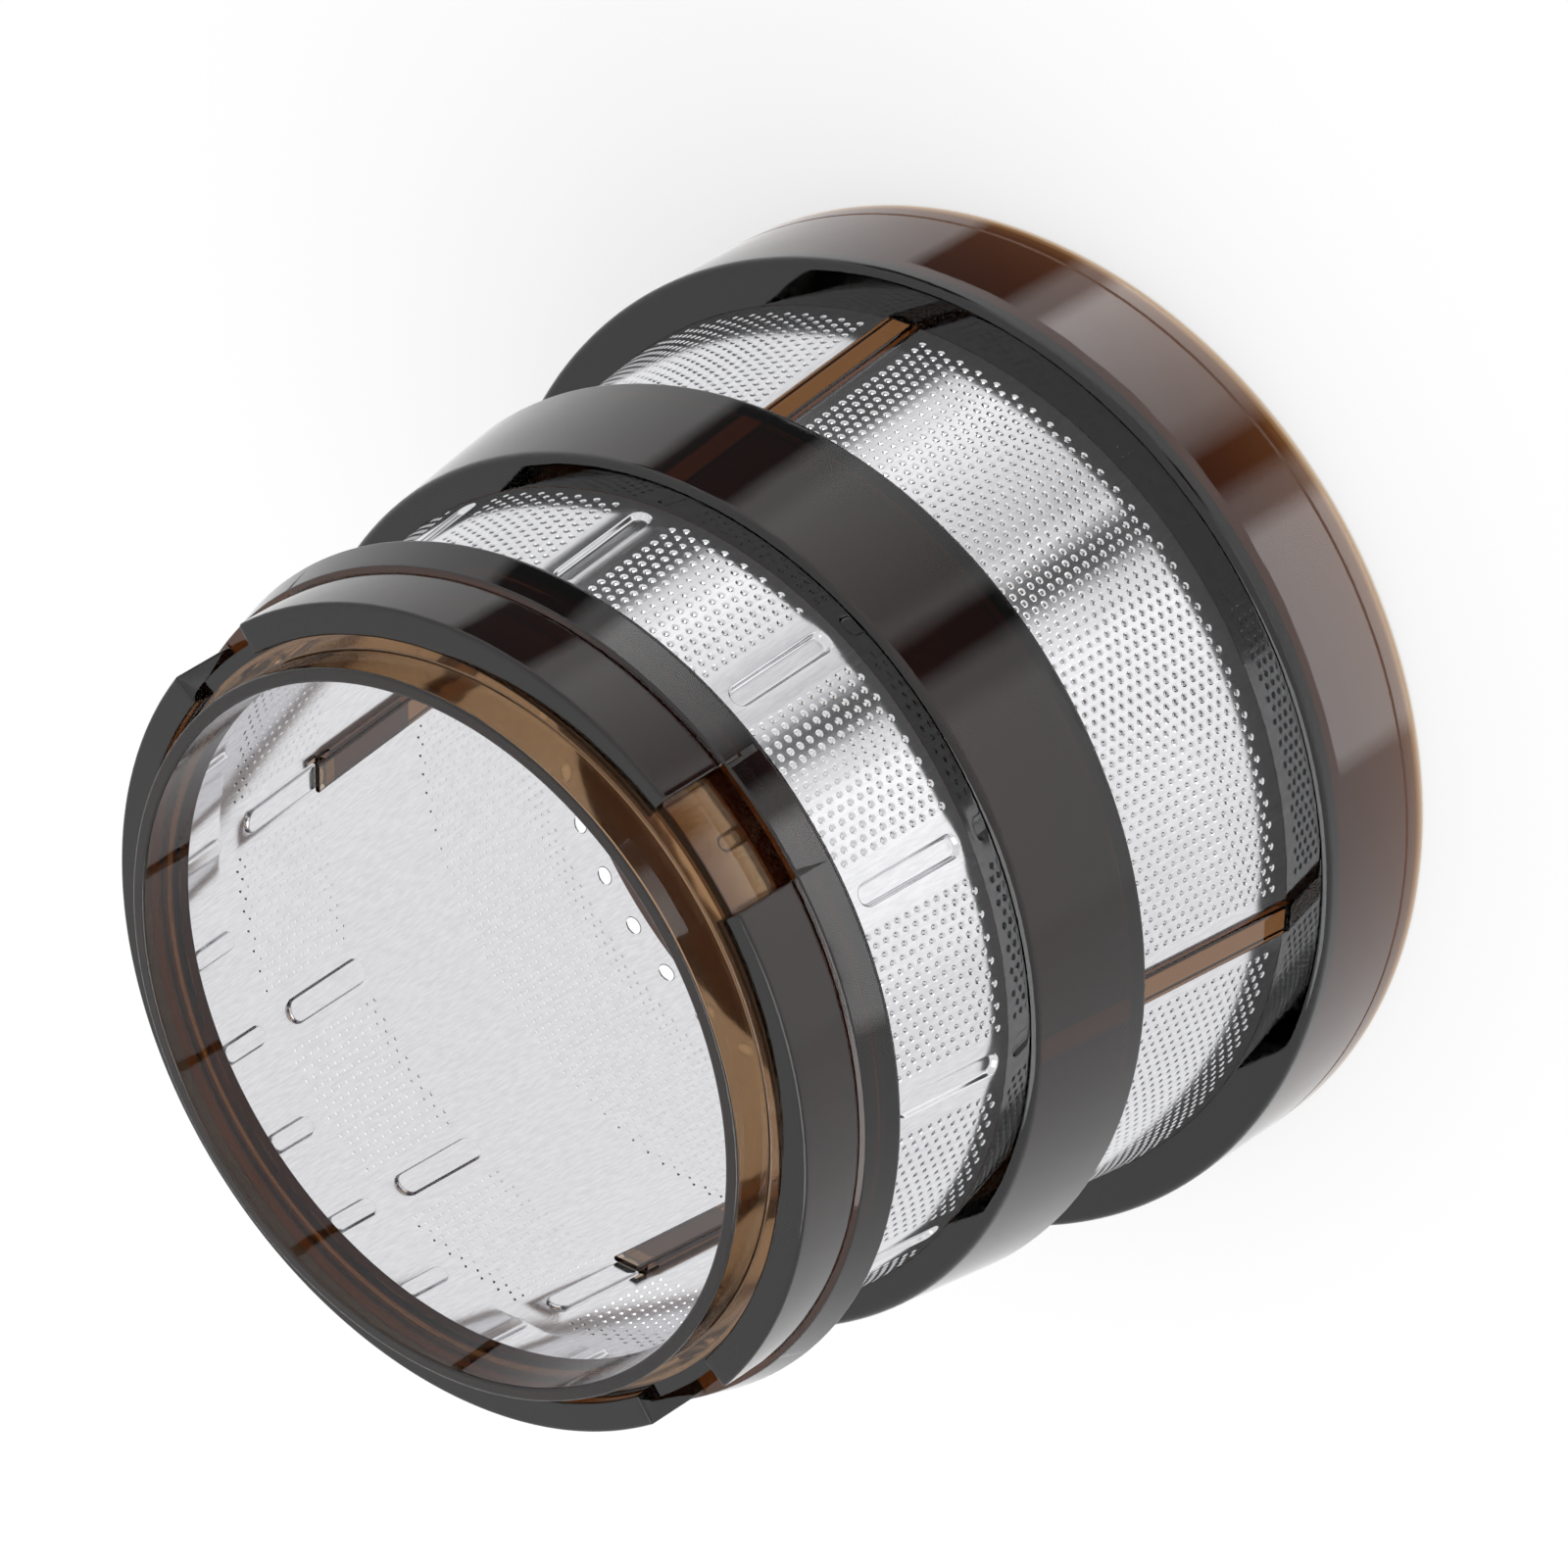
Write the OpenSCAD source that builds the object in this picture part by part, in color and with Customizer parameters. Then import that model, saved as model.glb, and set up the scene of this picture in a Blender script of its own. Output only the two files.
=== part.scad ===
// Strainer basket of a slow juicer: a perforated conical steel sleeve, with a small
// plastic ring moulded round its narrow end and a banded plastic frame moulded round
// the rest. It stands on its wide rim with the small mouth upwards, and +X runs
// through the first column. Heights are measured up from the rim.

/* [Overall] */
// Height over everything, from the rim to the lip
total_h = 108; // [102:0.5:114]
// Outer diameter of the wide rim, at its end face
rim_d = 132; // [131:0.5:140]
// Bore of the small mouth
mouth_d = 86.8; // [82:0.2:88]

/* [Steel sleeve] */
// Gap from the mouth's bore out to the sleeve's outer face, at the ledge
ledge_w = 3.8; // [3:0.1:4.5]
// Thickness of the sheet
sheet_t = 0.5; // [0.4:0.05:0.7]
// How far the sleeve reaches down inside the flange
sleeve_buried = 5.5; // [4.5:0.5:10]
// How far the small end of the sleeve is buried under the groove
sleeve_end_buried = 0.9; // [0.4:0.1:1.2]

/* [Pressed ridges] */
// Number of long ridges around the sleeve
ridge_count = 12; // [8:4:16]
// Width of a long ridge
ridge_w = 3.2; // [2.4:0.1:3.6]
// How far the ridges stand into the basket
ridge_h = 0.6; // [0.4:0.05:0.8]
// Gap from the middle band up to a long ridge
ridge_foot = 1.4; // [0.8:0.1:4]
// Gap from a long ridge up to the collar
ridge_head = 4.9; // [2:0.1:7]
// Width of a short ridge, two of which stand behind the small ring for each long one
short_ridge_w = 2.4; // [1.8:0.1:3]
// Gap from a short ridge up to the small ring's ledge
short_ridge_head = 1.9; // [1:0.1:4]

/* [Perforation] */
// Distance between neighbouring holes, drawn coarser than on the real sheet
hole_pitch = 11.2; // [11:0.1:16]
// Diameter of a drawn hole
hole_d = 3; // [2:0.1:4]
// Plain strip between the flange and the upper field of holes
plain_above_flange = 2.7; // [1.5:0.1:6]
// Plain strip between that field and the middle band
plain_below_band = 3.1; // [1.5:0.1:6]
// Plain strip between the middle band and the lower field of holes
plain_above_band = 1.5; // [1:0.1:5]
// Plain strip between that field and the collar
plain_below_collar = 2.6; // [1.5:0.1:5]
// Plain strip from a ridge's centre line to the holes beside it
plain_beside_ridge = 4.3; // [3:0.1:6]
// Plain strip from a column's centre line to the holes beside it
plain_beside_column = 4.5; // [3:0.1:6]

/* [Small ring] */
// Wall of the lip around the mouth
lip_wall = 1.7; // [1.2:0.1:2]
// How far the lip stands above the lug ring
lip_rise = 4.2; // [2:0.2:5]
// Width of the groove between the lip and the lug ring
groove_w = 2.3; // [2:0.1:3]
// Depth of the groove below the top of the lug ring
groove_depth = 1.6; // [1:0.1:1.8]
// Thickness of the plastic from the groove down to the ledge inside
end_floor_t = 1.9; // [1.6:0.1:2.4]
// Wall of the lug ring at its top
lug_wall = 3.8; // [3:0.1:5]
// Height of the lug ring down to its shoulder
lug_h = 9.3; // [7:0.1:10]
// Height of the flared collar below the shoulder
collar_h = 4.8; // [3:0.1:6]
// How far the collar's lower edge stands out past the top of the lug ring
collar_flare = 2.4; // [1.8:0.1:4]
// Angle that one notch in the lug ring takes, in degrees
notch_angle = 16; // [8:1:24]
// Thickness of the plastic left over the sleeve in a notch
notch_skin = 0.6; // [0.3:0.1:1]

/* [Middle band] */
// Height of the band's lower edge above the rim
band_z = 49.8; // [48:0.2:52]
// Height of the middle band
band_h = 17.8; // [14:0.2:19]
// How far the band's lower edge stands out from the sleeve
band_proud = 4.2; // [3:0.1:5]
// Slope of the band's outer face, in degrees
band_slope = 9.7; // [8:0.1:11]
// Radius of the band's upper outer edge
band_edge_r = 1.1; // [0.5:0.1:2]

/* [Flange] */
// Height of the flange
flange_h = 20.5; // [18:0.5:23]
// How far the flange's upper edge stands out from the sleeve
flange_proud = 5.8; // [5:0.1:8]
// Draft of the flange's outer face, in degrees
flange_draft = 2.4; // [0.5:0.1:3]
// Radius of the flange's upper outer edge
flange_edge_r = 1; // [0.5:0.1:2]
// Height of the fine line around the rim
rim_line_z = 3.8; // [2:0.1:6]
// Depth of the fine line around the rim
rim_line_depth = 0.25; // [0.1:0.05:0.5]
// Bevel at the inner edge of the wide mouth
mouth_bevel = 0.8; // [0.3:0.1:1.5]

/* [Columns] */
// Width of a column, outside and inside
column_w = 4; // [3:0.1:5]
// How far a column stands out of the sleeve
column_proud = 0.8; // [0.6:0.1:1.5]
// How far its rib stands into the basket
rib_h = 1.4; // [1:0.1:2.5]
// How far a rib reaches above the middle band
rib_rise = 2.8; // [1:0.1:3.5]

/* [Locking pegs] */
// Number of pegs through the sleeve inside the flange
peg_count = 48; // [24:12:48]
// Diameter of a peg hole in the sleeve
peg_d = 2.7; // [2:0.1:2.8]
// Depth of the row of pegs below the flange's upper face
peg_drop = 2.7; // [2.5:0.1:3]

/* [Hidden] */

$fn = 96;
seam = 0.03;        // shrinkage gap between the plastic and the steel
over = 0.5;         // how far a cutter runs past the face that it opens
bevel = 0.4;        // small bevel on the moulded edges
column_count = 4;
notch_places = [45, -45, -135];

lip_z = total_h;
lug_z = lip_z - lip_rise;
groove_z = lug_z - groove_depth;
ledge_z = groove_z - end_floor_t;
shoulder_z = lug_z - lug_h;
collar_z = shoulder_z - collar_h;
band_top_z = band_z + band_h;
sleeve_low_z = flange_h - sleeve_buried;
sleeve_top_z = ledge_z + sleeve_end_buried;

mouth_r = mouth_d / 2;
lip_r = mouth_r + lip_wall;
groove_r = lip_r + groove_w;
lug_r = groove_r + lug_wall;
lug_spread = 0.4;                       // how far the lug ring widens downwards
lug_foot_r = lug_r + lug_spread;
shoulder_step = 0.6;
collar_r = lug_r + collar_flare;
rim_r = rim_d / 2;
flange_r = rim_r - flange_h * tan(flange_draft);
foot_r = flange_r - flange_proud;
taper = (foot_r - mouth_r - ledge_w) / (ledge_z - flange_h);
cone_angle = atan(taper);
band_r = sleeve_r(band_z) + band_proud;
band_top_r = band_r - band_h * tan(band_slope);
sheet_r = sheet_t / cos(cone_angle);    // the sheet measured along a radius

ridge_z = band_top_z + ridge_foot;
ridge_len = collar_z - ridge_head - ridge_z;
short_ridge_z = collar_z + 0.1;
short_ridge_len = ledge_z - short_ridge_head - short_ridge_z;
hollow_inset = 0.3;                     // side wall of a pressed ridge
window_z = flange_h - 0.7;
window_top_z = band_top_z - 1;
peg_z = flange_h - peg_drop;

// outer radius of the sleeve at a height
function sleeve_r(z) = foot_r - (z - flange_h) * taper;

// the angle that a length along the sleeve's circle takes at a height
function as_angle(len, z) = len * 180 / (PI * sleeve_r(z));

// a rounded outer edge, walked from the side face up on to the top face
function round_edge(r, z, e) =
    [for (a = [0 : 15 : 90]) [r - e + e * cos(a), z - e + e * sin(a)]];

// puts its children on the sleeve's outer face: X points out, Z runs up the cone
module on_sleeve(angle, z) {
    rotate([0, 0, angle])
        translate([sleeve_r(z), 0, z])
            rotate([0, -cone_angle, 0])
                children();
}

// repeats its children evenly around the sleeve at a height
module around_sleeve(number, z) {
    for (i = [0 : number - 1])
        on_sleeve(i * 360 / number, z) children();
}

// a bar with round ends that reaches up the cone, from a depth under the outer face
module slot_bar(len, w, depth, thick) {
    translate([-depth, 0, 0])
        rotate([0, 90, 0])
            linear_extrude(thick)
                union() {
                    translate([w / 2 - len, -w / 2]) square([len - w, w]);
                    translate([-w / 2, 0]) circle(d = w);
                    translate([w / 2 - len, 0]) circle(d = w);
                }
}

// the bar that a pressed ridge raises inside, from the middle of the sheet
module ridge_bar(len, w, grow) {
    translate([0, 0, -grow])
        slot_bar(len + 2 * grow, w + 2 * grow, sheet_t + ridge_h + grow, sheet_t / 2 + ridge_h + grow);
}

// the hollow that the ridge leaves outside, up to a reach past the outer face
module ridge_hollow(len, w, shrink, reach) {
    inset = hollow_inset + shrink;
    translate([0, 0, inset])
        slot_bar(len - 2 * inset, w - 2 * inset, ridge_h - shrink, ridge_h - shrink + reach);
}

// staggered round holes in one sector of the sleeve, beside plain strips
module hole_field(centre, sector, plain, z0, z1) {
    row_h = hole_pitch * sin(60);
    rows = floor((z1 - z0 - hole_d) / row_h) + 1;
    first_z = (z0 + z1 - (rows - 1) * row_h) / 2;
    for (row = [0 : rows - 1]) {
        z = first_z + row * row_h;
        arc = sector * PI * sleeve_r(z) / 180 - 2 * plain;
        number = floor((arc - hole_d) / hole_pitch) + 1 - row % 2;
        for (i = [0 : number - 1])
            on_sleeve(centre + as_angle((i - (number - 1) / 2) * hole_pitch, z), z)
                through_hole(hole_d);
    }
}

// a round cutter through the sheet
module through_hole(d) {
    rotate([0, 90, 0])
        cylinder(d = d, h = 2 * (sheet_t + over), center = true, $fn = 24);
}

// a column's bar: flat sides, bevelled crests outside and inside the basket
module column_bar(z0, z1, w, depth, proud, edge) {
    linear_extrude((z1 - z0) / cos(cone_angle))
        polygon([
            [-depth, edge - w / 2], [edge - depth, -w / 2],
            [proud - edge, -w / 2], [proud, edge - w / 2],
            [proud, w / 2 - edge], [proud - edge, w / 2],
            [edge - depth, w / 2], [-depth, w / 2 - edge]
        ]);
}

module small_ring() {
    color([0.2, 0.13, 0.1]) {
        difference() {
            rotate_extrude()
                small_ring_section();
            for (a = notch_places)
                rotate([0, 0, a - notch_angle / 2])
                    rotate_extrude(angle = notch_angle)
                        notch_section();
        }
        around_sleeve(2 * ridge_count, short_ridge_z)
            ridge_hollow(short_ridge_len, short_ridge_w, seam, over);
    }
}

// lip, groove, lug ring, shoulder and flared collar, round the end of the sleeve
module small_ring_section() {
    end_r = sleeve_r(sleeve_top_z + seam);
    polygon([
        [mouth_r, ledge_z], [mouth_r, lip_z - bevel / 2], [mouth_r + bevel / 2, lip_z],
        [lip_r - bevel / 2, lip_z], [lip_r, lip_z - bevel / 2],
        [lip_r, groove_z], [groove_r, groove_z],
        [groove_r, lug_z - bevel / 2], [groove_r + bevel / 2, lug_z],
        [lug_r - bevel, lug_z], [lug_r, lug_z - bevel],
        [lug_foot_r, shoulder_z + shoulder_step],
        [lug_foot_r - shoulder_step / 2, shoulder_z + shoulder_step / 2],
        [lug_foot_r + shoulder_step, shoulder_z],
        [collar_r, collar_z + bevel], [collar_r - bevel / 2, collar_z],
        [sleeve_r(collar_z) + seam, collar_z], [end_r + seam, sleeve_top_z + seam],
        [end_r - sheet_r - seam, sleeve_top_z + seam],
        [sleeve_r(ledge_z) - sheet_r - seam, ledge_z]
    ]);
}

// one notch opens the lug ring into the groove and leaves a skin over the sleeve
module notch_section() {
    skin_r = sleeve_r(shoulder_z) + notch_skin;
    open_r = lug_r + 4;
    polygon([
        [lip_r + groove_w / 2, groove_z], [skin_r, groove_z],
        [skin_r, shoulder_z], [open_r, shoulder_z],
        [open_r, lug_z + over], [lip_r + groove_w / 2, lug_z + over]
    ]);
}

module banded_frame() {
    color([0.15, 0.1, 0.09]) {
        rotate_extrude() middle_band_section();
        rotate_extrude() flange_section();
        around_sleeve(peg_count, peg_z)
            rotate([0, 90, 0])
                translate([0, 0, -sheet_t])
                    cylinder(d = peg_d - 2 * seam, h = sheet_t + 1, $fn = 24);
        around_sleeve(column_count, window_z)
            column_bar(window_z, window_top_z, column_w, sheet_t + rib_h, column_proud, bevel);
        difference() {
            around_sleeve(column_count, window_top_z - over)
                column_bar(window_top_z - over, band_top_z + rib_rise, column_w,
                           sheet_t + rib_h, -sheet_t - seam, bevel);
            around_sleeve(column_count, ridge_z)
                ridge_bar(ridge_len, ridge_w, seam);
        }
    }
}

module middle_band_section() {
    polygon(concat(
        [[sleeve_r(band_z) + seam, band_z], [band_r - bevel, band_z], [band_r, band_z + bevel]],
        round_edge(band_top_r, band_top_z, band_edge_r),
        [[sleeve_r(band_top_z) + seam, band_top_z]]
    ));
}

// the sleeve's wide end sits in a rebate, flush with the flange's own bore
module flange_section() {
    line_r = rim_r - rim_line_z * tan(flange_draft);
    seat_z = sleeve_low_z - seam;
    polygon(concat(
        [[sleeve_r(0) - sheet_r + mouth_bevel, 0], [rim_r - bevel, 0], [rim_r, bevel],
         [line_r, rim_line_z - rim_line_depth], [line_r - rim_line_depth, rim_line_z],
         [line_r, rim_line_z + rim_line_depth]],
        round_edge(flange_r, flange_h, flange_edge_r),
        [[sleeve_r(flange_h) + seam, flange_h], [sleeve_r(seat_z) + seam, seat_z],
         [sleeve_r(seat_z) - sheet_r, seat_z], [sleeve_r(mouth_bevel) - sheet_r, mouth_bevel]]
    ));
}

module steel_sleeve() {
    color([0.78, 0.78, 0.8])
        difference() {
            union() {
                rotate_extrude() sleeve_section();
                around_sleeve(ridge_count, ridge_z) ridge_bar(ridge_len, ridge_w, 0);
                around_sleeve(2 * ridge_count, short_ridge_z)
                    ridge_bar(short_ridge_len, short_ridge_w, 0);
            }
            around_sleeve(ridge_count, ridge_z) ridge_hollow(ridge_len, ridge_w, 0, over);
            around_sleeve(2 * ridge_count, short_ridge_z)
                ridge_hollow(short_ridge_len, short_ridge_w, 0, over);
            around_sleeve(column_count, window_z - seam)
                column_bar(window_z - seam, window_top_z + seam, column_w + 2 * seam,
                           sheet_t + over, over, 0);
            around_sleeve(peg_count, peg_z) through_hole(peg_d);
            for (i = [0 : ridge_count - 1])
                hole_field((i + 0.5) * 360 / ridge_count, 360 / ridge_count, plain_beside_ridge,
                           band_top_z + plain_above_band, collar_z - plain_below_collar);
            for (i = [0 : column_count - 1])
                hole_field((i + 0.5) * 360 / column_count, 360 / column_count,
                           plain_beside_column, flange_h + plain_above_flange,
                           band_z - plain_below_band);
        }
}

module sleeve_section() {
    low_r = sleeve_r(sleeve_low_z);
    top_r = sleeve_r(sleeve_top_z);
    polygon([
        [low_r - sheet_r, sleeve_low_z], [low_r, sleeve_low_z],
        [top_r, sleeve_top_z], [top_r - sheet_r, sleeve_top_z]
    ]);
}

small_ring();
banded_frame();
steel_sleeve();
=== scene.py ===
import math

import bpy
import numpy as np
from mathutils import Matrix


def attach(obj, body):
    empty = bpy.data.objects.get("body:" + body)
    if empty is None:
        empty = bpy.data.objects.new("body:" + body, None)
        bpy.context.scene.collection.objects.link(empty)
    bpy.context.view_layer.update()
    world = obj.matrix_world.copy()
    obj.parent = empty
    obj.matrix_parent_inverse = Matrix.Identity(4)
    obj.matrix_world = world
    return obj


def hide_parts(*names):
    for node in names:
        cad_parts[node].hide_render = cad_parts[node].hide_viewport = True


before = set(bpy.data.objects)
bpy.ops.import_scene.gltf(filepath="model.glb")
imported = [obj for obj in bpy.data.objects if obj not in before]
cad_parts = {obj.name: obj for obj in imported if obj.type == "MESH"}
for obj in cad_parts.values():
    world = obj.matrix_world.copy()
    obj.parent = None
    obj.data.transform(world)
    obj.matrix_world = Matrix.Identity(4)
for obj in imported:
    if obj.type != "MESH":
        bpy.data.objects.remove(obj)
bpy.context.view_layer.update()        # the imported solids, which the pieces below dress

mm = 0.001               # every length below is in millimetres

# The steel sleeve, which all the other pieces are measured from
sleeve = dict(
    footRadius=59.3408,  # outer radius level with the flange's upper face
    footHeight=20.5,
    taper=0.15214,       # radius lost for each mm of height
    sheet=0.506,         # thickness of the sheet along a radius
    seam=0.03,           # shrinkage gap between plastic and steel
)


# radius = foot radius - taper * (height - foot height)
def sleeveRadius(z):
    return sleeve["footRadius"] - (z - sleeve["footHeight"]) * sleeve["taper"]


# (angle in degrees, height, depth under the sleeve's outer face) -> x, y, z
def onSleeve(points):
    angle, z, depth = np.radians(points[:, 0]), points[:, 1], points[:, 2]
    r = sleeveRadius(z) - depth
    return np.stack([r * np.cos(angle), r * np.sin(angle), z], -1)


# three arrays of any fitting shapes -> one array of points
def joined(a, b, c):
    return np.stack(np.broadcast_arrays(a, b, c), -1).astype(float)


# four corners for every cell of a grid, anticlockwise where columns run right and rows up
def gridQuads(rows, cols, wrap):
    r = np.arange(rows - 1)[:, None]
    c = np.arange(cols if wrap else cols - 1)[None, :]
    d = (c + 1) % cols
    corners = [r * cols + c, r * cols + d, (r + 1) * cols + d, (r + 1) * cols + c]
    return np.stack(corners, -1).reshape(-1, 4)


# Joins grids of points (copies, rows, columns, 3) into one closed mesh: spots closer than
# a tenth of a micron become one, and cells that lose a corner become triangles.
# A grid's flags: "wrap" joins its last column to the first, "flip" turns it inside out,
# and "crisp" keeps even its gentle edges sharp.
def makeMesh(name, grids, place=None):
    spots, quads, crisp, start = [], [], [], 0
    for points, flags in grids:
        rows, cols = points.shape[-3:-1]
        copies = points.reshape(-1, rows * cols, 3)
        cells = gridQuads(rows, cols, "wrap" in flags)
        if "flip" in flags:
            cells = cells[:, ::-1]
        shift = start + np.arange(len(copies))[:, None, None] * rows * cols
        quads.append((cells[None] + shift).reshape(-1, 4))
        crisp.append(np.full(len(quads[-1]), "crisp" in flags))
        spots.append(copies.reshape(-1, 3))
        start += len(spots[-1])
    spots, quads, crisp = np.concatenate(spots), np.concatenate(quads), np.concatenate(crisp)
    if place:
        spots = place(spots)
    key = np.floor(spots * 1e4 + 0.37).astype(np.int64) + 2 ** 20
    key = (key[:, 0] << 42) + (key[:, 1] << 21) + key[:, 2]
    first, sameAs = np.unique(key, return_index=True, return_inverse=True)[1:]
    quads = sameAs.reshape(-1)[quads]
    same = quads == np.roll(quads, -1, axis=1)
    whole = ~same.any(1) & (quads[:, 0] != quads[:, 2]) & (quads[:, 1] != quads[:, 3])
    cut = same.sum(1) == 1
    triangles = quads[cut][~same[cut]].reshape(-1, 3)
    crisp = np.concatenate([crisp[whole], crisp[cut]])
    mesh = bpy.data.meshes.new(name)
    mesh.from_pydata(spots[first] * mm, [], quads[whole].tolist() + triangles.tolist(), shade_flat=False)
    markSharp(mesh, crisp)
    return mesh


# An edge is sharp where its two faces turn by more than a limit
def markSharp(mesh, crisp, gentle=52, fine=18):
    edgeOf = np.empty(len(mesh.loops), np.int32)
    mesh.loops.foreach_get("edge_index", edgeOf)
    normal = np.empty(len(mesh.polygons) * 3)
    mesh.polygons.foreach_get("normal", normal)
    normal = normal.reshape(-1, 3)
    corners = np.empty(len(mesh.polygons), np.int32)
    mesh.polygons.foreach_get("loop_total", corners)
    if not np.all(np.bincount(edgeOf, minlength=len(mesh.edges)) == 2):
        print("open edges in", mesh.name, np.unique(np.bincount(edgeOf), return_counts=True))
        return
    faceOf = np.repeat(np.arange(len(mesh.polygons)), corners)
    pair = faceOf[np.argsort(edgeOf, kind="stable")].reshape(-1, 2)
    turn = (normal[pair[:, 0]] * normal[pair[:, 1]]).sum(1)
    limit = np.where(crisp[pair].all(1), math.cos(math.radians(fine)), math.cos(math.radians(gentle)))
    mesh.attributes.new("sharp_edge", "BOOLEAN", "EDGE").data.foreach_set("value", turn < limit)


# One finished piece: its mesh, material and place in the frame
def addPiece(name, mesh, material, node):
    piece = bpy.data.objects.new(name, mesh)
    bpy.context.scene.collection.objects.link(piece)
    mesh.materials.append(material)
    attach(piece, "root")
    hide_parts(node)
    print(name, len(mesh.vertices), "points,", sum(len(f.vertices) - 2 for f in mesh.polygons), "triangles")
    return piece


# Rounds the corners (across, up, radius) of a closed outline: each one becomes an arc
# between the tangent points, with a short straight run-in that keeps the faces flat
def roundedOutline(corners, steps=4):
    corners = np.array(corners, float)
    spot, radius = corners[:, :2], corners[:, 2:]
    back, ahead = np.roll(spot, 1, 0) - spot, np.roll(spot, -1, 0) - spot
    back /= np.linalg.norm(back, axis=1, keepdims=True)
    ahead /= np.linalg.norm(ahead, axis=1, keepdims=True)
    half = np.arccos(np.clip((back * ahead).sum(1, keepdims=True), -1, 1)) / 2
    reach = radius / np.tan(half)
    middle = back + ahead
    middle /= np.maximum(np.linalg.norm(middle, axis=1, keepdims=True), 1e-9)
    centre = spot + middle * radius / np.sin(half)
    turn = np.maximum(np.pi - 2 * half, 1e-6)
    part = np.linspace(0, 1, steps + 1)[None, :, None]
    fromBack, fromAhead = (spot + back * reach - centre)[:, None], (spot + ahead * reach - centre)[:, None]
    turn = turn[:, None]
    arc = centre[:, None] + (np.sin((1 - part) * turn) * fromBack + np.sin(part * turn) * fromAhead) / np.sin(turn)
    runIn = spot + back * (reach + 0.3 * radius)
    runOut = spot + ahead * (reach + 0.3 * radius)
    return np.concatenate([runIn[:, None], arc, runOut[:, None]], 1).reshape(-1, 2)


# Turns an outline (radius, height) about the axis: x = r cos, y = r sin
def turned(outline, angles):
    outline = np.concatenate([outline, outline[:1]])
    angle = np.radians(np.asarray(angles, float))[None, :]
    r, z = outline[:, :1], outline[:, 1:]
    return joined(r * np.cos(angle), r * np.sin(angle), z)


# Shader maths as plain expressions: a Wire is one output socket
class Wire:
    def __init__(self, tree, socket=None):
        self.tree, self.socket = tree, socket

    # any node: its settings first, then the values or wires of its sockets
    def node(self, kind, settings=None, sockets=None, out=0):
        made = self.tree.nodes.new("ShaderNode" + kind)
        for name, value in (settings or {}).items():
            if name == "stops":
                ramp = made.color_ramp.elements
                while len(ramp) < len(value):
                    ramp.new(1.0)
                for stop, (place, colour) in zip(ramp, value):
                    stop.position, stop.color = place, (*colour, 1.0)
            else:
                setattr(made, name, value)
        for name, value in (sockets or {}).items():
            if isinstance(value, Wire):
                self.tree.links.new(value.socket, made.inputs[name])
            else:
                made.inputs[name].default_value = value
        return Wire(self.tree, made.outputs[out] if made.outputs else None)

    def other(self, out):
        return Wire(self.tree, self.socket.node.outputs[out])

    def maths(self, operation, *values):
        return self.node("Math", dict(operation=operation), dict(enumerate(values)))

    def __add__(self, other): return self.maths("ADD", self, other)
    def __radd__(self, other): return self.maths("ADD", other, self)
    def __sub__(self, other): return self.maths("SUBTRACT", self, other)
    def __rsub__(self, other): return self.maths("SUBTRACT", other, self)
    def __mul__(self, other): return self.maths("MULTIPLY", self, other)
    def __rmul__(self, other): return self.maths("MULTIPLY", other, self)
    def __truediv__(self, other): return self.maths("DIVIDE", self, other)
    def __rtruediv__(self, other): return self.maths("DIVIDE", other, self)
    def __pow__(self, other): return self.maths("POWER", self, other)


def newMaterial(name):
    material = bpy.data.materials.new(name)
    material.use_nodes = True
    material.node_tree.nodes.clear()
    return material, Wire(material.node_tree)


# Camera, fitted to the circular edges of the photograph
view = dict(
    place=(287.56, -302.165, 448.264),
    ahead=(-0.48671, 0.52079, -0.70135),
    right=(0.03022, -0.79235, -0.60932),
    up=(0.87304, 0.31776, -0.36991),
    lens=109.29,
)
cameraData = bpy.data.cameras.new("camera")
cameraData.lens, cameraData.sensor_width, cameraData.clip_start = view["lens"], 36.0, 0.01
camera = bpy.data.objects.new("camera", cameraData)
bpy.context.scene.collection.objects.link(camera)
columns = zip(view["right"], view["up"], [-a for a in view["ahead"]], [p * mm for p in view["place"]])
camera.matrix_world = Matrix([*columns, (0, 0, 0, 1)])
bpy.context.scene.camera = camera
bpy.context.scene.view_settings.view_transform = "Standard"
print("camera set")


# Polished stainless sheet: faint rolling lines up the cone, a slight waviness and soft haze
steelLook = dict(
    light=(0.76, 0.76, 0.775), dark=(0.66, 0.66, 0.68),
    smooth=0.10, hazy=0.17,
    lines=150.0, waves=55.0, waveHeight=0.03,
)


def makeSteel():
    material, wire = newMaterial("polishedSteel")
    place = wire.node("TexCoord", out="Object")
    x = wire.node("SeparateXYZ", sockets={0: place})
    y, z = x.other("Y"), x.other("Z")
    r = (x * x + y * y) ** 0.5
    along = wire.node("CombineXYZ", sockets={"X": x / r, "Y": y / r, "Z": z * 3.0})
    lines = wire.node("TexNoise", sockets={"Vector": along, "Scale": steelLook["lines"], "Detail": 3.0})
    haze = wire.node("TexNoise", sockets={"Vector": place, "Scale": 38.0, "Detail": 4.0, "Roughness": 0.6})
    wave = wire.node("TexNoise", sockets={"Vector": place, "Scale": steelLook["waves"], "Detail": 1.0})
    tint = wire.node("ValToRGB", dict(stops=[(0.3, steelLook["dark"]), (0.7, steelLook["light"])]), {0: lines})
    rough = steelLook["smooth"] + (lines * 0.4 + haze * 0.6) * (steelLook["hazy"] - steelLook["smooth"])
    bump = wire.node("Bump", sockets={"Strength": 0.35, "Distance": 0.0002, "Height": wave + lines * 0.04})
    shader = wire.node("BsdfPrincipled", sockets={
        "Base Color": tint, "Metallic": 1.0, "Roughness": rough, "Normal": bump})
    wire.node("OutputMaterial", sockets={"Surface": shader})
    return material


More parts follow.
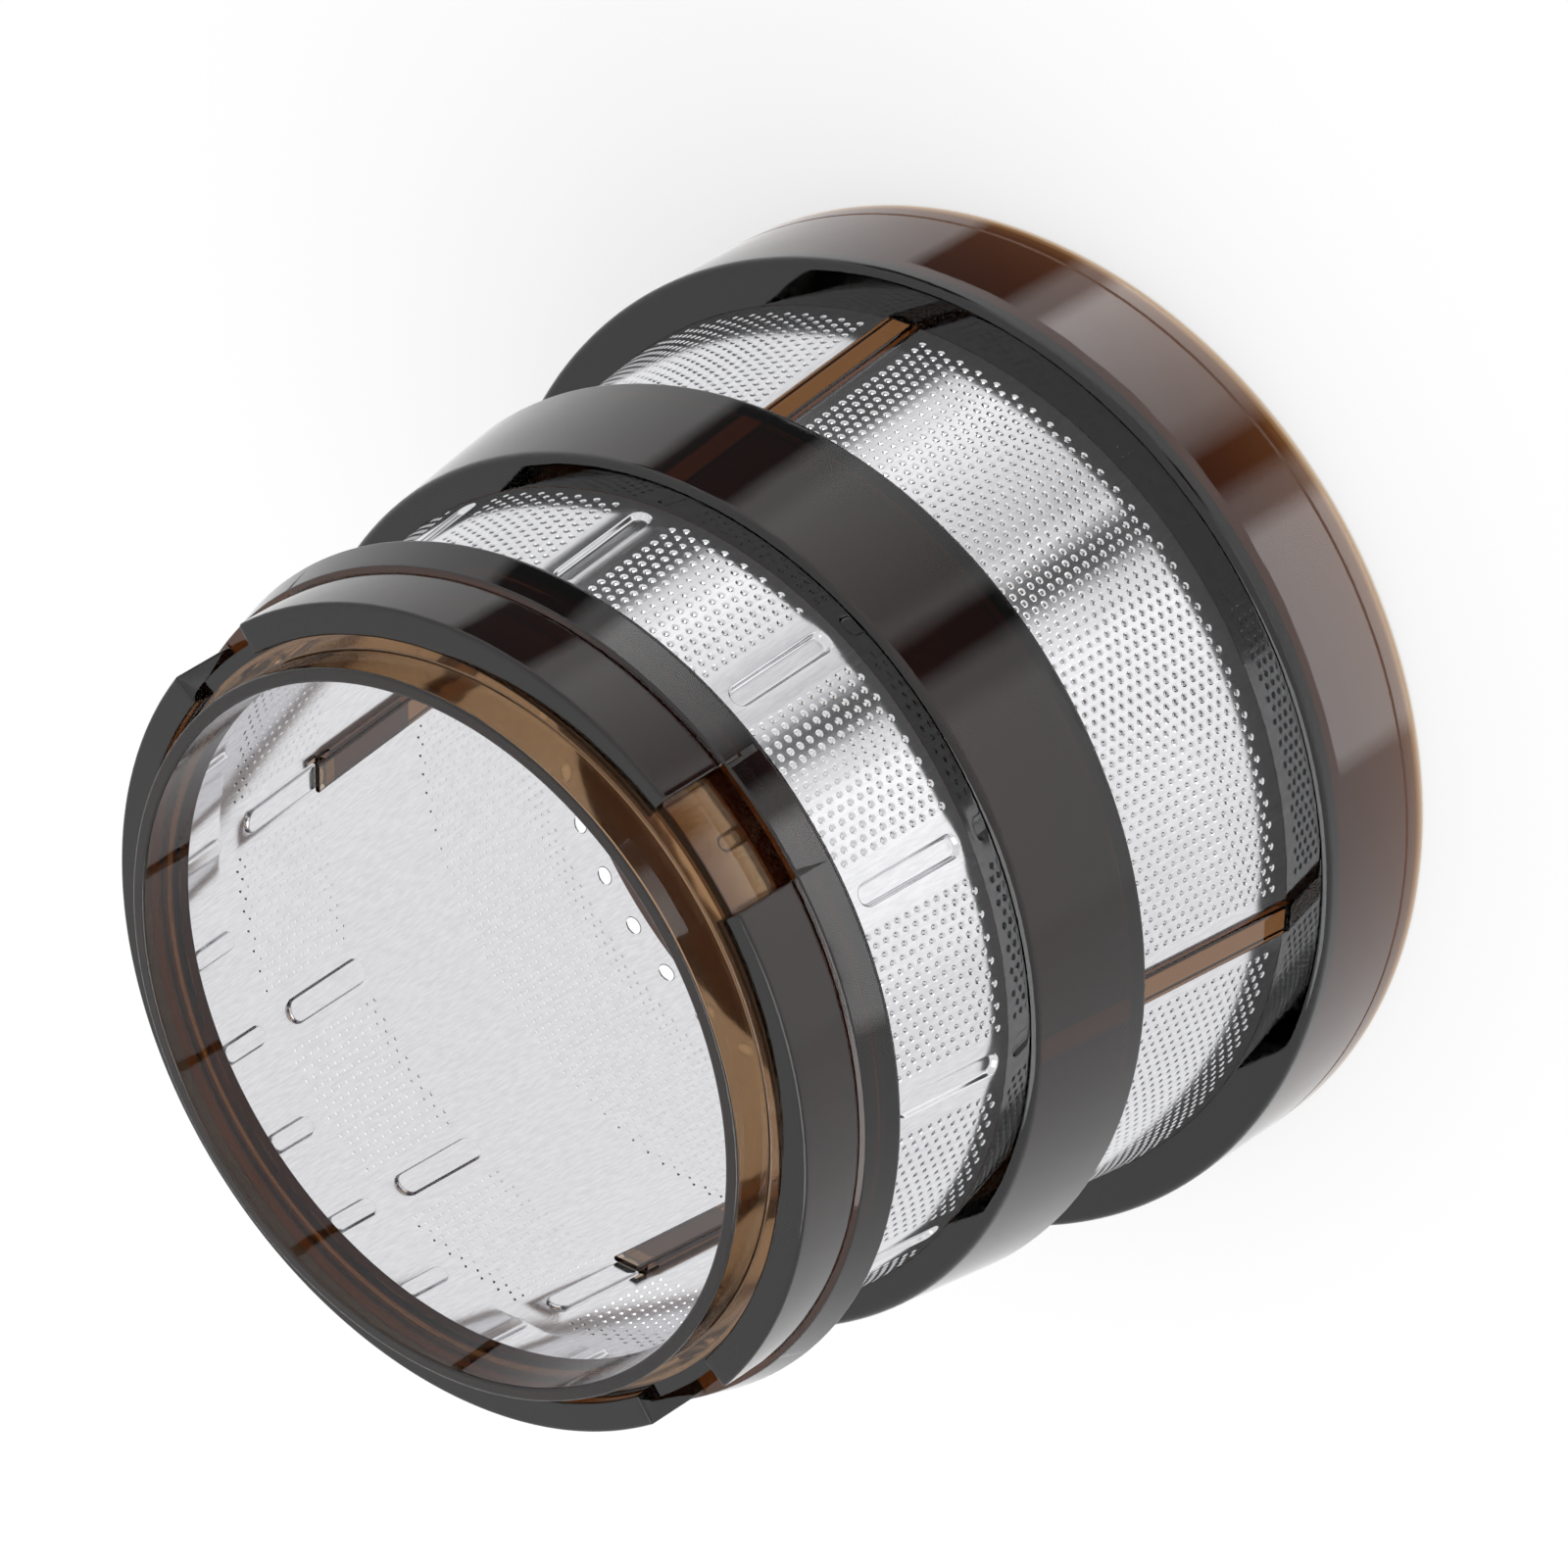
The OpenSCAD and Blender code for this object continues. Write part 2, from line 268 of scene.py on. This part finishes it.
# Smoky translucent plastic: clear at the surface, and brown by what its depth absorbs
plasticLook = dict(
    absorbed=(0.50, 0.74, 1.05),  # rates at which red, green and blue are lost for each mm
    density=1200.0,               # the rates above are this much times one minus the colour
    index=1.57, rough=0.035,
)


def makePlastic():
    material, wire = newMaterial("smokyPlastic")
    place = wire.node("TexCoord", out="Object")
    flow = wire.node("TexNoise", sockets={"Vector": place, "Scale": 70.0, "Detail": 2.0})
    fine = wire.node("TexNoise", sockets={"Vector": place, "Scale": 420.0, "Detail": 3.0})
    tint = wire.node("ValToRGB", dict(stops=[(0.35, (0.90, 0.87, 0.85)), (0.65, (0.97, 0.96, 0.95))]), {0: flow})
    bump = wire.node("Bump", sockets={"Strength": 0.25, "Distance": 0.00025, "Height": flow})
    shader = wire.node("BsdfPrincipled", sockets={
        "Base Color": tint, "Roughness": plasticLook["rough"] * 0.7 + fine * (plasticLook["rough"] * 0.6),
        "IOR": plasticLook["index"], "Transmission Weight": 1.0, "Normal": bump})
    colour = [1 - 1000 * rate / plasticLook["density"] for rate in plasticLook["absorbed"]]
    smoke = wire.node("VolumeAbsorption", sockets={"Color": (*colour, 1.0), "Density": plasticLook["density"]})
    wire.node("OutputMaterial", sockets={"Surface": shader, "Volume": smoke})
    return material


polishedSteel, smokyPlastic = makeSteel(), makePlastic()
print("materials made")


# Fields of fine holes, in columns up the sleeve with every other one half a pitch higher
holes = dict(
    pitch=1.53,          # from hole to hole up a column
    radius=0.3, dimple=0.5, dimpleDepth=0.1,
    wideFirst=23.1, wideRows=16, wideColumns=61, wideStep=1.35,
    narrowFirst=69.3, narrowRows=12, narrowColumns=14, narrowStep=1.554,
)


# One field: a cell per hole runs from its square border over a conical dimple through the
# sheet to the inner border. Plain half cells fill the steps at the top and bottom.
def holeField(centres, first, rows, cols, step):
    half, pitch, sheet = step / 2, holes["pitch"], sleeve["sheet"]
    col = np.arange(cols)
    angle = np.asarray(centres, float)[:, None, None] + (col - (cols - 1) / 2)[None, :, None] * step
    z = first + np.arange(rows)[None, None, :] * pitch + (col % 2)[None, :, None] * pitch / 2
    angle, z = (a.reshape(-1, 1) for a in np.broadcast_arrays(angle, z))
    square = np.array([[1, 1, 0, -1, -1, -1, 0, 1], [0, 1, 1, 1, 0, -1, -1, -1]])
    turn = np.radians(45 * np.arange(8))
    perMm = np.degrees(1 / sleeveRadius(z))

    def ring(radius, depth):
        return joined(angle + radius * np.cos(turn) * perMm, z + radius * np.sin(turn), depth)

    border = angle + square[0] * half, z + square[1] * pitch / 2
    cells = np.stack([joined(*border, 0), ring(holes["dimple"], 0), ring(holes["radius"], holes["dimpleDepth"]),
                      ring(holes["radius"], sheet), joined(*border, sheet)], 1)
    grids = [(cells, ("wrap", "crisp"))]
    top = first + (rows - 0.5) * pitch
    for low, odd in ((top, 0), (first - pitch / 2, 1)):
        spare = np.asarray(centres, float)[:, None] + (col[col % 2 == odd] - (cols - 1) / 2) * step
        spare = spare.reshape(-1, 1, 1) + np.array([-half, 0, half])
        height = np.array([low, low + pitch / 2])[:, None]
        grids += [(joined(spare, height, 0), ()), (joined(spare, height, sheet), ("flip",))]
    return grids


# A pressed ridge in its own rectangle of sheet. Every line of the half loop from the middle
# of the lower border round to the middle of the upper one is the point of a core rectangle
# that lies nearest to its border point, moved out by a distance; the left half mirrors it.
def slotPatch(centres, z0, z1, low, high, halfAngle, sideSteps, endSteps, core, outer, inner, height):
    middle = (z0 + z1) / 2
    perMm = math.degrees(1 / sleeveRadius(middle))
    wide, down, up = halfAngle / perMm, middle - low, high - middle
    side = np.linspace(-down, up, sideSteps + 1)
    end = np.linspace(0, wide, endSteps + 1)[:-1]
    border = np.stack([np.concatenate([end, np.full(len(side), wide), end[::-1]]),
                       np.concatenate([np.full(endSteps, -down), side, np.full(endSteps, up)])], -1)
    near = np.clip(border, [0, -core[1]], core)
    away = border - near
    away /= np.linalg.norm(away, axis=1, keepdims=True)
    grids = []
    for contour, base, flags in ((outer, 0.0, ()), (inner, sleeve["sheet"], ("flip",))):
        loops = [np.column_stack([border, np.full(len(border), base)])]
        for offset, share in contour:
            loops.append(np.column_stack([near + away * offset, np.full(len(border), base + height * share)]))
        half = np.stack(loops, 1)
        grid = np.concatenate([half * [-1, 1, 1], half[:, ::-1]], 1)
        grid = grid * [perMm, 1, 1] + [0, middle, 0]
        copies = grid[None] + np.asarray(centres, float)[:, None, None, None] * [1, 0, 0]
        grids.append((copies, flags))
    return grids


# Distances from a core to the loops of a ridge's wall, and the share of its height there
def ridgeWall(edge, steps):
    return [(edge + out, share) for out, share in steps] + [(edge * 0.4, 1.0), (0.0, 1.0)]


hollowSteps = [(0.28, 0), (0.13, 0.05), (0.03, 0.27), (-0.1, 0.73), (-0.22, 0.95), (-0.38, 1)]
crestSteps = [(0.22, 0), (0.09, 0.07), (0.0, 0.45), (-0.09, 0.9), (-0.2, 0.99), (-0.34, 1)]


# plain sheet over lines of angles (rows, columns) and heights, outside and inside
def plainSheet(angles, heights, flags=()):
    z = np.asarray(heights, float)[:, None]
    return [(joined(angles, z, 0), flags), (joined(angles, z, sleeve["sheet"]), (*flags, "flip"))]


# the sheet's end faces, below and above
def endFaces(low, lowAngles, high, highAngles, flags=()):
    sheet = sleeve["sheet"]
    return [(joined(lowAngles, low, np.array([sheet, 0])[:, None]), flags),
            (joined(highAngles, high, np.array([0, sheet])[:, None]), flags)]


# The foot, with a round hole for each locking peg
foot = dict(low=15.0, high=19.8, pegs=48, pegHeight=17.8, holeRadius=1.35)


def makeFoot():
    step, sheet = 360 / foot["pegs"], sleeve["sheet"]
    part = np.arange(6) / 6
    across = np.concatenate([part - 0.5, np.full(6, 0.5), 0.5 - part, np.full(6, -0.5)]) * step
    up = np.concatenate([np.zeros(6), part, np.ones(6), 1 - part])
    z = foot["low"] + up * (foot["high"] - foot["low"])
    perMm = math.degrees(1 / sleeveRadius(foot["pegHeight"]))
    turn = np.arctan2(z - foot["pegHeight"], across / perMm)
    hole = foot["holeRadius"] * np.cos(turn) * perMm, foot["pegHeight"] + foot["holeRadius"] * np.sin(turn)
    cell = np.stack([joined(across, z, 0), joined(*hole, 0), joined(*hole, sheet), joined(across, z, sheet)])
    cells = cell[None] + np.arange(foot["pegs"])[:, None, None, None] * step * np.array([1, 0, 0])
    lines = np.arange(foot["pegs"] * 6) * step / 6
    grids = [(cells, ("wrap", "crisp"))] + endFaces(foot["low"], lines, foot["high"], lines, ("wrap",))
    mesh = makeMesh("sleeveFoot", grids, onSleeve)
    addPiece("sleeveFoot", mesh, polishedSteel, "steel_sleeve")


# The wide part, with a window for each column; its four quarters make two pieces
wide = dict(low=19.8, high=66.6, windowHalf=2.03)


def makeWide(name, starts):
    pitch, rows = holes["pitch"], holes["wideRows"]
    first, last = holes["wideFirst"] - pitch / 2, holes["wideFirst"] + rows * pitch
    sheet = sleeve["sheet"]
    halfField = holes["wideColumns"] * holes["wideStep"] / 2
    inner = 45 - halfField + np.arange(2 * holes["wideColumns"] + 1) * holes["wideStep"] / 2
    base = np.asarray(starts, float)[:, None, None]

    def edge(z):
        return np.degrees(np.arcsin(wide["windowHalf"] / sleeveRadius(z)))[:, None]

    def lines(z):
        return base + np.hstack([edge(z), np.tile(inner, (len(z), 1)), 90 - edge(z)])

    below = np.linspace(wide["low"], first, 3)
    above = np.concatenate([[last], np.linspace(50, wide["high"], 6)])
    beside = first + np.arange(2 * rows + 2) * pitch / 2
    grids = plainSheet(lines(below), below) + plainSheet(lines(above), above)
    strip = np.full((len(beside), 1), 45 - halfField)
    grids += plainSheet(base + np.hstack([edge(beside), strip]), beside)
    grids += plainSheet(base + np.hstack([90 - strip, 90 - edge(beside)]), beside)
    grids += holeField(45 + np.asarray(starts), holes["wideFirst"], rows, holes["wideColumns"], holes["wideStep"])
    grids += endFaces(wide["low"], lines(below[:1]), wide["high"], lines(above[-1:]))
    tall = np.concatenate([below[:-1], beside, above[1:]])
    for angle, depths in ((edge(tall), [sheet, 0]), (90 - edge(tall), [0, sheet])):
        grids.append((joined(base + angle, tall[:, None], np.array(depths)), ()))
    addPiece(name, makeMesh(name, grids, onSleeve), polishedSteel, "steel_sleeve")


# The narrow part between the middle band and the collar, with the long ridges
narrow = dict(low=66.6, high=89.75, ridges=12, ridgeLow=69.3, ridgeHigh=84.5, height=0.6)


def makeNarrow():
    step = 360 / narrow["ridges"]
    pitch, rows = holes["pitch"], holes["narrowRows"]
    plainHalf = (step - holes["narrowColumns"] * holes["narrowStep"]) / 2
    first, last = holes["narrowFirst"] - pitch / 2, holes["narrowFirst"] + rows * pitch
    plain = np.linspace(-plainHalf, plainHalf, 9)
    field = plainHalf + np.arange(1, 2 * holes["narrowColumns"]) * holes["narrowStep"] / 2
    lines = (np.arange(narrow["ridges"])[:, None] * step + np.concatenate([plain, field])).reshape(-1)
    grids = []
    for heights in (np.linspace(narrow["low"], first, 3), np.linspace(last, narrow["high"], 3)):
        grids += plainSheet(lines, heights, ("wrap",))
    grids += endFaces(narrow["low"], lines, narrow["high"], lines, ("wrap",))
    turns = np.arange(narrow["ridges"]) * step
    grids += holeField(turns + step / 2, holes["narrowFirst"], rows, holes["narrowColumns"], holes["narrowStep"])
    grids += slotPatch(turns, narrow["ridgeLow"], narrow["ridgeHigh"], first, last, plainHalf,
                       2 * rows + 1, 4, (0.1, 6.4), ridgeWall(1.2, hollowSteps), ridgeWall(1.5, crestSteps),
                       narrow["height"])
    mesh = makeMesh("sleeveNarrow", grids, onSleeve)
    addPiece("sleeveNarrow", mesh, polishedSteel, "steel_sleeve")


# The end inside the small ring, with the short ridges
end = dict(low=89.75, high=101.2, ridges=24, ridgeLow=90.1, ridgeHigh=98.4, height=0.6)


def makeEnd():
    step = 360 / end["ridges"]
    lines = np.arange(end["ridges"] * 8) * step / 8
    grids = slotPatch(np.arange(end["ridges"]) * step, end["ridgeLow"], end["ridgeHigh"], end["low"], end["high"],
                      step / 2, 16, 4, (0.0, 2.95), ridgeWall(0.9, hollowSteps), ridgeWall(1.2, crestSteps),
                      end["height"])
    grids += endFaces(end["low"], lines, end["high"], lines, ("wrap",))
    mesh = makeMesh("sleeveEnd", grids, onSleeve)
    addPiece("sleeveEnd", mesh, polishedSteel, "steel_sleeve")


makeFoot()
makeWide("sleeveWideA", [-90, 0])
makeWide("sleeveWideB", [90, 180])
makeNarrow()
makeEnd()
print("steel made")


# The small ring: lip, groove, lug ring with three notches, shoulder and flared collar
ring = dict(
    mouth=43.4, ledge=100.3, top=108.0, lip=45.1, groove=102.2, grooveOut=47.4, lugTop=103.8,
    lug=51.2, lugFoot=51.6, shoulder=94.5, collar=53.6, collarLow=89.7, seat=101.2,
    notches=(45, -45, -135), notchHalf=8.0, skin=48.68, edgeRound=0.28,
)


def makeRing():
    seam, sheet = sleeve["seam"], sleeve["sheet"]
    low, seat = ring["collarLow"], ring["seat"] + seam
    bore = sleeveRadius(low) + seam
    end = sleeveRadius(seat)
    lip = [(ring["mouth"], ring["ledge"], 0.2), (ring["mouth"], ring["top"], 0.3), (ring["lip"], ring["top"], 0.3)]
    foot = [(ring["collar"], low + 0.4, 0.35), (ring["collar"] - 0.2, low, 0.1), (bore, low, 0),
            (end + seam, seat, 0), (end - sheet - seam, seat, 0),
            (sleeveRadius(ring["ledge"]) - sheet - seam, ring["ledge"], 0)]
    lug = [(ring["lip"], ring["groove"], 0.25), (ring["grooveOut"], ring["groove"], 0.2),
           (ring["grooveOut"], ring["lugTop"], 0.2), (ring["lug"], ring["lugTop"], 0.4),
           (ring["lugFoot"], ring["shoulder"] + 0.6, 0.15), (ring["lugFoot"] - 0.3, ring["shoulder"] + 0.3, 0.08),
           (ring["lugFoot"] + 0.6, ring["shoulder"], 0.3)]
    notch = [lug[0], (ring["grooveOut"], ring["groove"], 0), (ring["grooveOut"] + 0.5, ring["groove"], 0),
             (ring["skin"], ring["groove"], 0), (ring["skin"], ring["shoulder"], 0),
             (ring["skin"] + 1.4, ring["shoulder"], 0), lug[-1]]
    full, open_ = (roundedOutline((lip + middle + foot)[::-1]) for middle in (lug, notch))
    # round a whole turn: share 0 is the full section and 1 the notch, and the lug's ends are
    # rounded by a quarter circle that eases the first tenth of the way
    angles, shares = [], []
    perMm = math.degrees(1 / ring["lugFoot"])
    easing = np.linspace(0, 90, 5)
    ease = [(ring["edgeRound"] * (1 - math.sin(math.radians(a))) * perMm, 0.1 * (1 - math.cos(math.radians(a))))
            for a in easing]
    notches = sorted(n % 360 for n in ring["notches"])
    place = notches[-1] - 360 + ring["notchHalf"]
    for centre in notches:
        start = centre - ring["notchHalf"]
        angles += [place + off for off, share in ease[::-1]]
        shares += [share for off, share in ease[::-1]]
        inner = np.arange(place + 1, start - 0.5)
        angles += list(inner) + [start - off for off, share in ease]
        shares += [0.0] * len(inner) + [share for off, share in ease]
        place = centre + ring["notchHalf"]
        inside = np.linspace(start, place, 17)
        angles += list(inside)
        shares += [1.0] * len(inside)
    angles, shares = np.radians(angles)[None, :], np.array(shares)[None, :, None]
    section = full[:, None] * (1 - shares) + open_[:, None] * shares
    section = np.concatenate([section, section[:1]])
    r, z = section[..., 0], section[..., 1]
    grids = [(joined(r * np.cos(angles), r * np.sin(angles), z), ("wrap",))]
    addPiece("smallRing", makeMesh("smallRing", grids), smokyPlastic, "small_ring")


# The middle band
band = dict(low=49.8, high=67.6, out=4.2, slope=9.7, edge=1.1, foot=0.45)


def makeBand():
    seam = sleeve["seam"]
    outer = sleeveRadius(band["low"]) + band["out"]
    upper = outer - (band["high"] - band["low"]) * math.tan(math.radians(band["slope"]))
    outline = roundedOutline([
        (sleeveRadius(band["low"]) + seam, band["low"], 0), (outer, band["low"], band["foot"]),
        (upper, band["high"], band["edge"]), (sleeveRadius(band["high"]) + seam, band["high"], 0)], 6)
    grids = [(turned(outline, np.arange(360)), ("wrap",))]
    addPiece("middleBand", makeMesh("middleBand", grids), smokyPlastic, "banded_frame")


# The flange with its wide rim, the fine line round it and the rebate for the sleeve's end
flange = dict(rim=66.0, high=20.5, draft=2.4, edge=1.0, line=3.8, lineDepth=0.25, bevel=0.8)


def makeFlange():
    seam, sheet, lean = sleeve["seam"], sleeve["sheet"], math.tan(math.radians(flange["draft"]))
    seat = foot["low"] - seam

    def wall(z):
        return flange["rim"] - z * lean

    line, deep = flange["line"], flange["lineDepth"]
    outline = roundedOutline([
        (sleeveRadius(0) - sheet + flange["bevel"], 0, 0.15), (flange["rim"], 0, 0.45),
        (wall(line - deep), line - deep, 0.08), (wall(line) - deep, line, 0.06), (wall(line + deep), line + deep, 0.08),
        (wall(flange["high"]), flange["high"], flange["edge"]),
        (sleeveRadius(flange["high"]) + seam, flange["high"], 0), (sleeveRadius(seat) + seam, seat, 0),
        (sleeveRadius(seat) - sheet, seat, 0), (sleeveRadius(flange["bevel"]) - sheet, flange["bevel"], 0.2)], 5)
    grids = [(turned(outline, np.arange(360)), ("wrap",))]
    addPiece("flange", makeMesh("flange", grids), smokyPlastic, "banded_frame")


# The columns in the windows, and the pegs in the row of holes
column = dict(half=2.0, proud=0.8, rib=1.906, round=0.4, low=19.83, high=70.4)


def makeColumns():
    seam, sheet = sleeve["seam"], sleeve["sheet"]
    crest = sheet + narrow["height"] + seam
    # height, and how far the bar then reaches outwards from the sleeve's outer face
    stations = [(column["low"], 0), (flange["high"] + seam, 0), (flange["high"] + seam, column["proud"]),
                (band["low"] - seam, column["proud"]), (band["low"] - seam, 0), (wide["high"] - seam, 0),
                (wide["high"] - seam, -sheet - seam), (68.7, -sheet - seam), (68.7, -crest), (column["high"], -crest)]
    rows = []
    for z, front in [stations[0]] + stations + [stations[-1]]:
        round_ = min(column["round"], (front + column["rib"]) / 2 - 0.03)
        half = column["half"]
        section = roundedOutline([(-column["rib"], -half, round_), (front, -half, round_), (front, half, round_),
                                  (-column["rib"], half, round_)])
        rows.append(np.column_stack([section[:, 0] + sleeveRadius(z), section[:, 1], np.full(len(section), z)]))
    rows = np.stack(rows)
    rows[0] = rows[0].mean(0)
    rows[-1] = rows[-1].mean(0)
    grids = []
    for turn in np.radians([0, 90, 180, 270]):
        x, y, z = rows[..., 0], rows[..., 1], rows[..., 2]
        spun = joined(x * math.cos(turn) - y * math.sin(turn), x * math.sin(turn) + y * math.cos(turn), z)
        grids.append((spun, ("wrap",)))
    addPiece("columns", makeMesh("columns", grids), smokyPlastic, "banded_frame")


def makePegs():
    turn = np.radians(15 * np.arange(24))
    perMm = math.degrees(1 / sleeveRadius(foot["pegHeight"]))
    rings = []
    for radius, depth in ((0, 0.0), (0.9, 0.0), (1.25, 0.0), (1.31, 0.06), (1.31, 0.42), (1.22, 0.5),
                          (0.9, 0.506), (0, 0.506)):
        rings.append(joined(radius * np.cos(turn) * perMm, foot["pegHeight"] + radius * np.sin(turn), depth))
    peg = np.stack(rings)[::-1]
    pegs = peg[None] + np.arange(foot["pegs"])[:, None, None, None] * (360 / foot["pegs"]) * np.array([1, 0, 0])
    mesh = makeMesh("lockingPegs", [(pegs, ("wrap", "flip"))], onSleeve)
    addPiece("lockingPegs", mesh, smokyPlastic, "banded_frame")


makeRing()
makeBand()
makeFlange()
makeColumns()
makePegs()
print("plastic made")


# Studio: a white floor, a white world, and soft panels and dark cards that lie on the floor
# round the basket, where its walls mirror them
studio = dict(
    floorSize=6000.0, shadow=0.35,
    world=0.92,
    # azimuths that a panel or card takes, counted like the sleeve's angle; a panel also has
    # the share of its zone's light at either end
    reach=(-80, 10),
    panels=[(-73, -46, 0.8, 1.0), (-34, -15, 0.5, 1.0)],
    cards=[(-42, -36), (-11, 2)],
    cardLight=0.1,
    softEdge=5,          # half degrees over which an edge fades
    zones=dict(
        flange=[(66.0, 0.5, 2.4), (65.4, 16.0, 2.4)],
        steelLow=[(sleeveRadius(21.0), 21.0, 8.65), (sleeveRadius(49.0), 49.0, 8.65)],
        band=[(59.0, 50.0, 9.7), (sleeveRadius(90.0), 90.0, 8.65)],
        collar=[(53.6, 88.0, 17.6), (52.2, 96.5, 17.6)],
    ),
    zoneLight=dict(flange=3.0, steelLow=1.3, band=1.4, collar=3.0),
)


def addStage(name, mesh, material):
    piece = bpy.data.objects.new(name, mesh)
    bpy.context.scene.collection.objects.link(piece)
    mesh.materials.append(material)
    return piece


# where the mirrored view ray of a wall meets the floor: ray - 2 (ray . normal) normal
def mirroredFloor(angle, r, z, lean):
    angle, lean = np.radians(angle), math.radians(lean)
    spot = joined(r * np.cos(angle), r * np.sin(angle), z)
    ray = spot - np.array(view["place"])
    ray /= np.linalg.norm(ray, axis=-1, keepdims=True)
    normal = joined(np.cos(angle) * math.cos(lean), np.sin(angle) * math.cos(lean), math.sin(lean))
    ray -= 2 * (ray * normal).sum(-1, keepdims=True) * normal
    return spot - ray * (z / ray[..., 2:])


def makeStudio():
    half = studio["floorSize"] / 2 * mm
    floorMesh = bpy.data.meshes.new("floor")
    floorMesh.from_pydata([(-half, -half, 0), (half, -half, 0), (half, half, 0), (-half, half, 0)], [], [(0, 1, 2, 3)])
    floorLook, wire = newMaterial("floorWhite")
    path = wire.node("LightPath", out="Is Camera Ray")
    mirrored = path.other("Is Glossy Ray") + path.other("Is Transmission Ray")
    white = wire.node("Emission", sockets={"Color": (1, 1, 1, 1), "Strength": 1.0})
    matt = wire.node("BsdfDiffuse", sockets={"Color": (0.9, 0.9, 0.9, 1)})
    share = path * (1 - studio["shadow"]) + mirrored
    wire.node("OutputMaterial", sockets={"Surface": wire.node("MixShader", sockets={0: share, 1: matt, 2: white})})
    addStage("floor", floorMesh, floorLook)

    world = bpy.data.worlds.new("white")
    world.use_nodes = True
    world.node_tree.nodes.clear()
    wire = Wire(world.node_tree)
    sky = wire.node("Background", sockets={"Color": (1, 1, 1, 1), "Strength": 1.0})
    room = wire.node("Background", sockets={"Color": (1, 1, 1, 1), "Strength": studio["world"]})
    path = wire.node("LightPath", out="Is Camera Ray")
    mixed = wire.node("MixShader", sockets={0: path, 1: room, 2: sky})
    wire.node("OutputWorld", sockets={"Surface": mixed})
    bpy.context.scene.world = world

    panelLook, wire = newMaterial("panelLight")
    level = wire.node("Attribute", dict(attribute_name="level"), out="Fac")
    glow = wire.node("Emission", sockets={"Color": (1, 1, 1, 1), "Strength": level})
    wire.node("OutputMaterial", sockets={"Surface": glow})
    panelLook.cycles.emission_sampling = "NONE"
    fine = np.arange(studio["reach"][0], studio["reach"][1] + 0.1, 0.5)
    soft = studio["softEdge"]
    for name, walls in studio["zones"].items():
        edges = np.stack([mirroredFloor(fine, *wall) for wall in walls], 1)
        part = np.linspace(0, 1, 5)[None, :, None]
        sheet = edges[:, :1] * (1 - part) + edges[:, 1:] * part
        sheet[..., 2] = 0.4
        mesh = bpy.data.meshes.new("panel_" + name)
        mesh.from_pydata(sheet.reshape(-1, 3) * mm, [], gridQuads(len(fine), 5, False).tolist())
        light = np.ones(len(fine))
        for low, high, first, last in studio["panels"]:
            share = np.interp(fine, [low, high], [first, last])
            light = np.where((fine > low) & (fine < high), share * studio["zoneLight"][name], light)
        for low, high in studio["cards"]:
            light = np.where((fine > low) & (fine < high), studio["cardLight"], light)
        light = np.convolve(np.pad(light, soft // 2, mode="edge"), np.ones(soft) / soft, mode="valid")
        mesh.attributes.new("level", "FLOAT", "POINT").data.foreach_set("value", np.repeat(light, 5))
        panel = addStage("panel_" + name, mesh, panelLook)
        panel.visible_camera = panel.visible_diffuse = panel.visible_shadow = False
        panel.visible_transmission = panel.visible_volume_scatter = False

    lamp = bpy.data.lights.new("keyLight", "AREA")
    lamp.energy, lamp.size = 6.0, 0.9
    lampObject = bpy.data.objects.new("keyLight", lamp)
    bpy.context.scene.collection.objects.link(lampObject)
    lampObject.location = (-0.35, -0.45, 1.1)
    lampObject.rotation_euler = (math.radians(24), math.radians(-18), 0)


makeStudio()
print("studio made")
